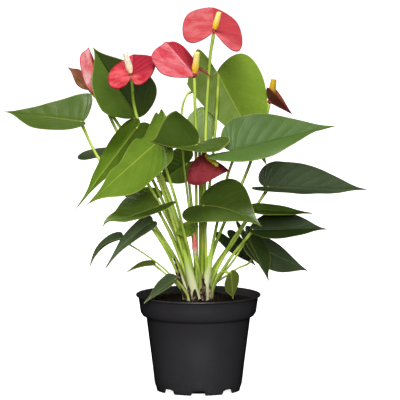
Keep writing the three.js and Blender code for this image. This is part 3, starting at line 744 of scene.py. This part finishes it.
# A row reads as a leaf's does, with the place of the spike's end, how thick the spike is against
# the usual (girth), and the places that a rolled-up lobe passes (curl).
FLOWERS = {
    1: dict(spot=5, via=[(7, -6, 245), (11, -5, 320)], base=(15, -5, 347), tip=(13, 48, 365),
            left=(-15, -5, 346), right=(42, -5, 341), lobe=(0.52, 0.78), full=(0.95, 0.8),
            tip_width=0.62, shoulder=1.0, open=(0.5, 0.5), spike=(20, -8, 366), red="coral"),
    2: dict(spot=0, via=[(1, -18, 239), (-2, -20, 254)], base=(-4, -25, 307), tip=(-32, 15, 335),
            left=(-38, -46, 314), right=(-6, 5, 322), lobe=(0.17, 0.22), full=(0.7, 0.8),
            tip_width=0.4, open=(0.3, 0.1), spike=(-1, -31, 330), girth=1.12, red="rosy",
            curl=[(-4, -12, 314), (5, -13, 310), (13, -14, 303)]),
    3: dict(spot=4, via=[(-24, 1, 172), (-59, 14, 263)], base=(-64, -22, 307),
            tip=(-63, 14, 323), left=(-86, -22, 305), right=(-40, -18, 318), lobe=(0.8, 0.95),
            crest=(1, 0.8), full=(0.6, 0.6), tip_width=0.4, spike=(-70, -28, 330), girth=1.12,
            red="crimson", florets="cream"),
    4: dict(spot=9, via=[(-86, 36, 262)], base=(-96, 40, 283), tip=(-106, 42, 327),
            left=(-113, 26, 308), right=(-99, 66, 300), lobe=(0.4, 0.4), tip_width=0.3,
            open=(0.5, 0.1), spike=(-99, 34, 298), girth=0.55, red="pink"),
    5: dict(spot=14, via=[(-36, 20, 184), (-79, 42, 255)], base=(-107, 58, 286),
            tip=(-126, 60, 306), left=(-117, 44, 291), right=(-113, 72, 300), lobe=(0.2, 0.2),
            full=(0.2, 0.3), tip_width=0.1, spike=(-105, 58, 299), red="fading", florets="green"),
    6: dict(spot=10, via=[(5, -22, 190)], base=(6, -38, 232), tip=(30, -58, 219),
            left=(20, -36, 223), right=(-8, -64, 209), lobe=(0.42, 0.3), full=(0.5, 0.6),
            spike=(18, -60, 225), girth=0.9, red="wine", florets="golden"),
    8: dict(spot=24, via=[(51, 29, 219), (61, 39, 242)], base=(69, 45, 274), tip=(91, 48, 262),
            left=(74, 57, 286), right=(67, 30, 289), lobe=(0.1, 0.1), full=(0.3, 0.4),
            spike=(73, 45, 296), girth=1.3, red="old", florets="mustard"),
}
REDS = {  # the front of the bract, its lighter patches, its margin, its back, and the red of its painted shade
    "coral": ((176, 60, 66), (196, 104, 106), (136, 20, 36), (190, 84, 86), (168, 48, 56)),
    "rosy": ((190, 58, 70), (214, 130, 136), (150, 24, 42), (200, 96, 102), (146, 14, 34)),
    "crimson": ((172, 30, 46), (210, 96, 100), (120, 8, 28), (196, 90, 92), (142, 20, 40)),
    "pink": ((240, 110, 118), (255, 206, 208), (214, 40, 60), (255, 196, 200), (232, 62, 78)),
    "wine": ((90, 28, 30), (182, 70, 80), (170, 30, 48), (188, 112, 112), (124, 42, 46)),
    "fading": ((118, 76, 48), (164, 128, 92), (112, 18, 28), (154, 118, 84), (132, 72, 54)),
    "old": ((94, 50, 24), (122, 74, 38), (126, 30, 64), (98, 52, 26), (98, 40, 26)),
}
PALE_RIB_AND_SHEEN = {"rosy": 5.5}  # how far the pale midrib reaches, where it isn't 1.2 mm: the rosy bract's wide band is partly a painted sheen along its ridge
PAINTED_SHADE_HALF = {"wine": 0.3}  # how far the right half takes on its painted shade red, where not wholly
FLORETS = {  # at the foot and at the tip of the spike
    "yellow": ((250, 206, 48), (255, 244, 150)),
    "cream": ((255, 246, 204), (255, 254, 240)),
    "green": ((255, 236, 96), (255, 246, 140)),
    "golden": ((255, 214, 24), (255, 238, 76)),
    "mustard": ((184, 136, 8), (208, 176, 30)),
}


def waxy_face(red, below=False):
    """One face of a bract: lighter patches, dents darkened with painted shade, cells, a pale midrib
    (partly a painted sheen where it is wide), a dark margin, and painted shade on the right half
    towards its tip. The front has a thin coat of wax."""
    front, patch, margin, back, deeper = REDS[red]
    ground = back if below else front
    wax = {} if below else dict(Coat_Weight=0.15, Coat_Roughness=0.25)
    finish = Finish(f"{red} bract, {'back' if below else 'front'}", 0.45, **wax)
    _, t, from_rib, from_margin, right, _ = heart_places(finish)
    cloud = finish.place.cloudy(16, 4.0)
    fleck = finish.place.cloudy(1.6, 4.0, 0.7)
    cell = finish.place.cells(5.5).rising(0.02, 0.25)
    vein = vein_lines(t, cloud * 0.4 - 0.2, BRACT_VEINS, 0.12)
    dent = finish.place.cloudy(4.5, 2.0, 0.5).rising(0.56, 0.68)
    patchy = (cloud.rising(0.35, 0.68) * 0.8 + fleck * 0.3 - 0.15).between(
        paint(*ground), paint(*patch))
    # Painted shade: the colour darkens in the dents, as shade falls in them; the dents are also
    # pressed into the bump.
    dents_in_painted_shade = (dent * (0.15 if below else 0.5)).between(
        patchy, paint(*[part * 0.82 for part in ground]))
    # Painted shade: the right half darkens towards its tip into the red called deeper, as if turned
    # from the light.
    painted_shade_half = right * t.rising(0.3, 0.5) * (cloud * 0.4 + 0.65) * PAINTED_SHADE_HALF.get(red, 1.0)
    in_painted_shade = painted_shade_half.between(dents_in_painted_shade, paint(*deeper))
    # The pale midrib is 1.2 mm wide; on the rosy bract it is 5.5 mm wide and partly a painted sheen
    # along the ridge.
    rib = from_rib.rising(PALE_RIB_AND_SHEEN.get(red, 1.2), 0.3)
    lined = (vein * 0.1 + rib * 0.45).between(in_painted_shade, paint(*patch))
    edged = (from_margin.rising(1.3, 0.3) * 0.7).between(lined, paint(*margin))
    return finish.feed(edged, fleck * 0.12 + (0.5 if below else 0.26),
                       cell * 0.3 - vein * 0.25 + fleck * 0.12 - dent * 0.6,
                       strength=0.4, depth=0.5)


def floret_finish(kind):
    """The florets' colour, from the foot of the spike to its tip, darker in the gaps."""
    foot, tip = FLORETS[kind]
    finish = Finish(f"{kind} florets", 0.35, Roughness=0.55)
    up_it = finish.shade.node("Attribute", {"attribute_name": "up_the_spike"}, out=2)
    fleck = finish.place.cloudy(0.8)
    colour = up_it.rising(0.15, 0.8).between(paint(*foot), paint(*tip))
    shaded = (fleck.rising(0.62, 0.4) * 0.35).between(
        colour, paint(*[part * 0.72 for part in foot]))
    return finish.feed(shaded, None, fleck, strength=0.3, depth=0.2)


def spike(row, heart, finish):
    """A tapered core with rows of small four-sided florets in a spiral, each a copy of one."""
    start = heart.base + heart.up * SPIKE_LIFT
    axis = Vector(row["spike"]) - start
    way = axis.normalized()
    seat = COLLAR + GAP - SPIKE_LIFT * heart.up.dot(way)
    length = axis.length - seat
    girth = SPIKE * row.get("girth", 1)
    foot = (start + way * seat) * MM
    seated = Matrix.Translation(foot) @ way.to_track_quat("Z", "X").to_matrix().to_4x4()

    def radius(share):
        if share < SPIKE_FULLEST:
            return girth * mix(0.65, 1.08, share / SPIKE_FULLEST)
        return girth * mix(1.08, 0.76, ((share - SPIKE_FULLEST) / (1 - SPIKE_FULLEST)) ** 1.6)

    profile = [(radius(k / CORE_RINGS) * 0.93, length * k / CORE_RINGS)
               for k in range(CORE_RINGS)]
    profile += [(radius(1) * 0.8, length * 0.985), (radius(1) * 0.4, length)]
    core = turned(profile, 16)
    core.data.transform(seated)
    count = round(2 * pi * girth * 0.85 * length / (FLORET * FLORET * 0.95))
    on_its_own()
    bpy.ops.mesh.primitive_uv_sphere_add(segments=4, ring_count=4, radius=0.5)
    florets = twins(bpy.context.object, count)
    for k, floret in enumerate(florets):
        share = (k + 0.5) / count
        angle = radians(k * GOLDEN_ANGLE)
        out = Vector((cos(angle), sin(angle), 0))
        size = FLORET * mix(1.12, 0.8, share)
        spot = out * radius(share) * 0.94 + Vector((0, 0, length * mix(0.02, 0.985, share)))
        lie = out.to_track_quat("Z", "Y").to_matrix().to_4x4()
        stretch = Matrix.Diagonal((size * MM, size * MM, size * 0.62 * MM, 1))
        floret.matrix_world = seated @ Matrix.Translation(spot * MM) @ lie @ stretch
    joined(core, *florets)
    climb = core.data.attributes.new("up_the_spike", "FLOAT", "POINT")
    for k, corner in enumerate(core.data.vertices):
        climb.data[k].value = (corner.co - foot).dot(way) / (length * MM)
    clad(core, finish)
    smoothed(60)
    return core


def collar_at(place):
    """The small round collar in which stalk, bract and spike meet."""
    on_its_own()
    bpy.ops.mesh.primitive_uv_sphere_add(segments=20, ring_count=12, radius=COLLAR * MM,
                                         location=place * MM)
    bpy.ops.object.transform_apply()
    return clad(bpy.context.object, collar_red)


def curled_lobe(places):
    """A lobe that is rolled up lengthwise into a thin red strand."""
    for point, place, thick in zip(curve_of(len(places))[1], places, CURL):
        point.co = Vector(place) * MM
        point.handle_left_type = point.handle_right_type = "AUTO"
        point.radius = thick
    return strand(collar_red)


fronts = {red: waxy_face(red) for red in REDS}
backs = {red: waxy_face(red, below=True) for red in REDS}
spikes = {kind: floret_finish(kind) for kind in FLORETS}
tough = Finish("dark red collar", 0.4)
shading = tough.place.cloudy(2.5, 4.0)
collar_red = tough.feed(shading.between(paint(104, 24, 28), paint(166, 66, 58)),
                        shading * 0.2 + 0.35, shading, strength=0.3, depth=0.2)
for number, row in FLOWERS.items():
    heart = Heart(row)
    bract = blade(heart, BRACT, BRACT_VEINS, pucker=0.35, ridge=0.25, seed=number * 5.3)
    bract.data.materials[0] = fronts[row["red"]]
    bract.data.materials[1] = backs[row["red"]]
    parts = [collar_at(heart.base)]
    if "curl" in row:
        parts.append(curled_lobe(row["curl"]))
    joined(bract, *parts)
    smoothed(55)
    settle(bract, f"waxy_bract_{number}", "bract", f"flower_{number}_bract")
    back = (via_of(row, heart.base)[-1] - heart.base).normalized()
    stem = stalk(row, heart.base + back * (COLLAR + STALK_GAP), STALK, knee=0.15)
    smoothed(60)
    settle(stem, f"flower_stalk_{number}", "flower_stem", f"flower_{number}_stem")
    florets = spike(row, heart, spikes[row.get("florets", "yellow")])
    settle(florets, f"floret_spike_{number}", "spike", f"flower_{number}_spike")


# ---------------------------------------------------------------- bud
# The youngest flower: its bract is still rolled tightly round the spike, pink at the tip and
# pale at the foot, on a short stem of its own.
BUD = dict(spot=23, base=(-3, -40, 137), via=[(0, -35, 122), (-3, -40, 133)])
BUD_TIP = Vector((-4, -42, 158))
BUD_GIRTH = 2.9
BUD_WALL = 0.35
BUD_GRID = (40, 36)  # round and up the roll
ROLL = 2 * pi * 1.3  # how far the bract winds round the spike
TWIST = 1.1  # how far the roll turns from its foot to its tip
bud_foot = Vector(BUD["base"])
bud_way = (BUD_TIP - bud_foot).normalized()
bud_length = (BUD_TIP - bud_foot).length


def bud_girth(share):
    """Radius of the roll in mm: slim at the foot, fullest below the middle, drawn to a point."""
    return BUD_GIRTH * min(1, 0.45 + share * 2.2) * (1 - share ** 2.4) ** 0.8 + 0.08


bud = grid(*BUD_GRID)
stand = bud_way.to_track_quat("Z", "X").to_matrix().to_4x4()
for corner in bud.data.vertices:
    round_it = (corner.co.x + 1) / 2
    share = (corner.co.y + 1) / 2
    angle = round_it * ROLL + share * TWIST
    girth = bud_girth(share) * mix(1.0, 0.8, round_it)
    place = Vector((girth * cos(angle), girth * sin(angle), share * bud_length))
    corner.co = (stand @ place + bud_foot) * MM
shaped_by(bud, "SOLIDIFY", thickness=BUD_WALL * MM)
mended()
smoothed(50)
rolled = Finish("pink rolled bract", 0.5, Roughness=0.35)
_, _, up_bud = rolled.place.parted()
streak = rolled.place.streaky(0.12, 900.0)
pink = (streak * 0.6 + up_bud.rising(0.150, 0.160) * 0.4).between(
    paint(226, 92, 92), paint(240, 138, 128))
clad(bud, rolled.feed(
    up_bud.rising(0.146, 0.138).between(pink, paint(222, 214, 168)), None, streak,
    strength=0.3, depth=0.2))
settle(bud, "rolled_bud", "bract", "flower_7_bract")
stem = stalk(BUD, bud_foot - Vector((0, 0, GAP)), STALK)
smoothed(60)
settle(stem, "flower_stalk_7", "flower_stem", "flower_7_stem")


# ---------------------------------------------------------------- sheaths at the crown
# Old leaf sheaths: the withered ones are papery brown strips that still clasp the crown, the
# fresh ones are thick and cream coloured. Each grew round a stalk and is open on one side.
SHEATH_GRID = (16, 22)  # round and up a strip
STUB_FOOT_Z = 80
STUB_GIRTH = 1.9
STUBS = {  # spot on the spiral of the crown, and top in mm
    1: (44, (6, -24, 107)), 2: (28, (-8, -19, 109)), 3: (39, (10, -17, 106)),
}
FRESH_SHEATHS = [  # foot, top, radius at the foot, all in mm
    ((-1, -14, 86), (-14, -21, 140), 5.2), ((5, -13, 86), (13, -20, 146), 4.6),
    ((-9, -5, 86), (-17, -9, 119), 3.2), ((-4, 4, 86), (-9, 7, 124), 4.2),
    ((9, 3, 86), (18, 4, 121), 3.6), ((2, 11, 86), (5, 19, 119), 3.8),
]
OLD_SHEATHS = [
    ((-9, -10, 86), (-21, -14, 118), 3.4), ((-10, -6, 86), (-22, -8, 130), 3.2),
    ((-6, -13, 86), (-9, -19, 104), 2.8), ((4, -14, 86), (4, -20, 116), 3.2),
    ((8, -8, 86), (9, -14, 128), 2.6), ((-3, -18, 86), (-3, -21, 101), 3.6),
]


def sheath(foot, top, girth, wrap, thickness, seed):
    """A crumpled strip bent round the line from foot to top and drawn to a point. It faces away
    from the middle of the crown and reaches wrap radians to each side."""
    piece = grid(*SHEATH_GRID)
    foot, top = Vector(foot), Vector(top)
    turn = (top - foot).normalized().to_track_quat("Z", "Y").to_matrix().to_4x4()
    front = atan2(foot.y, foot.x) if foot.xy.length > 1 else -pi / 2
    outward = turn.inverted() @ Vector((cos(front), sin(front), 0))
    facing = atan2(outward.y, outward.x)
    for corner in piece.data.vertices:
        share = (corner.co.y + 1) / 2
        narrow = (1 - share ** 2.2) ** 0.7 if share < 1 else 0
        angle = facing + corner.co.x * wrap * max(narrow, 0.02)
        crumple = noise.noise(Vector((corner.co.x * 2, share * 4, seed))) * 0.5
        radius = girth * mix(1.0, 0.55, share) + crumple
        place = Vector((radius * cos(angle), radius * sin(angle),
                        share * (top - foot).length))
        corner.co = (turn @ place + foot) * MM
    shaped_by(piece, "SOLIDIFY", thickness=thickness * MM)
    mended(merge=0.01)
    smoothed(50)
    return piece


papery = Finish("withered papery sheath", 0.25, Roughness=0.8)
fibre = papery.place.streaky(0.1, 1400.0, 4.0)
stain = papery.place.cloudy(5, 4.0).rising(0.68, 0.48)
straw = fibre.between(paint(150, 118, 86), paint(214, 188, 156))
withered = papery.feed(stain.between(straw, paint(50, 30, 25)), None, fibre,
                       strength=0.6, depth=0.4)
creamy = Finish("cream fresh sheath", 0.45, Roughness=0.42)
_, _, up_sheath = creamy.place.parted()
vessel = creamy.place.streaky(0.08, 1200.0)
pale = vessel.between(paint(212, 220, 154), paint(240, 242, 200))
cream = creamy.feed(up_sheath.rising(0.106, 0.134).between(pale, paint(184, 214, 84)), None,
                    vessel, strength=0.4, depth=0.2)
for number, (spot, top) in STUBS.items():
    foot = (*foot_of({"spot": spot}), STUB_FOOT_Z)
    strip = sheath(foot, top, STUB_GIRTH, wrap=2.6, thickness=0.4, seed=number * 2.1)
    settle(clad(strip, withered), f"withered_sheath_{number}", "withered_sheath", f"stub_{number}")
for number, (foot, top, girth) in enumerate(OLD_SHEATHS, len(STUBS) + 1):
    strip = sheath(foot, top, girth, wrap=1.7, thickness=0.4, seed=number * 2.1)
    settle(clad(strip, withered), f"withered_sheath_{number}", "withered_sheath")
for number, (foot, top, girth) in enumerate(FRESH_SHEATHS, 1):
    strip = sheath(foot, top, girth, wrap=1.9, thickness=0.5, seed=number * 4.3)
    settle(clad(strip, cream), f"fresh_sheath_{number}", "flower_stem")


# ---------------------------------------------------------------- studio
# A pale floor, a faint even sky, a large soft light in front, one above and a weak one behind,
# and a long lens that looks a little down at the plant.
FLOOR_SIZE = 40
FLOOR_DROP = 0.0003  # so that the pot's foot and the floor don't share a plane
LIGHT_AIM = Vector((0, 0, 0.2))
LIGHTS = {  # place in m, size in m, power in W, and whether it shows in reflections
    "front_light": ((0.1, -3.0, 1.35), 1.4, 96, True),
    "top_light": ((-0.4, -0.5, 2.5), 1.0, 60, True),
    "back_light": ((0.5, 2.2, 1.9), 1.2, 26, False),
}
on_its_own()
bpy.ops.mesh.primitive_plane_add(size=FLOOR_SIZE, location=(0, 0, -FLOOR_DROP))
floor = bpy.context.object
floor.name = "studio_floor"
pale_floor = Finish("pale studio floor", 0.0, Roughness=0.9,
                    Base_Color=(0.8, 0.8, 0.8, 1), Emission_Color=(1, 1, 1, 1),
                    Emission_Strength=0.9)
clad(floor, pale_floor.material)
floor.visible_diffuse = False
floor.visible_glossy = False

for name, (place, size, power, mirrored) in LIGHTS.items():
    lamp = bpy.data.lights.new(name, "AREA")
    lamp.size = size
    lamp.energy = power
    holder = bpy.data.objects.new(name, lamp)
    holder.location = place
    holder.rotation_euler = (LIGHT_AIM - Vector(place)).to_track_quat("-Z", "Y").to_euler()
    holder.visible_camera = False
    holder.visible_glossy = mirrored
    bpy.context.collection.objects.link(holder)

sky = bpy.data.worlds.new("studio_sky")
sky.use_nodes = True
daylight = sky.node_tree.nodes["Background"]
daylight.inputs["Color"].default_value = (1, 1, 1, 1)
daylight.inputs["Strength"].default_value = 0.16
sky.cycles_visibility.glossy = False
bpy.context.scene.world = sky
bpy.context.scene.view_settings.view_transform = "Standard"

CAMERA_DISTANCE = 6.0
CAMERA_PITCH = radians(7.3)
CAMERA_TARGET = Vector((0.0016, 0, 0.184))
lens = bpy.data.cameras.new("camera")
lens.sensor_width = 36
lens.lens = 562.5
camera = bpy.data.objects.new("camera", lens)
camera.location = CAMERA_TARGET + CAMERA_DISTANCE * Vector(
    (0, -cos(CAMERA_PITCH), sin(CAMERA_PITCH)))
camera.rotation_euler = (pi / 2 - CAMERA_PITCH, 0, 0)
bpy.context.collection.objects.link(camera)
bpy.context.scene.camera = camera
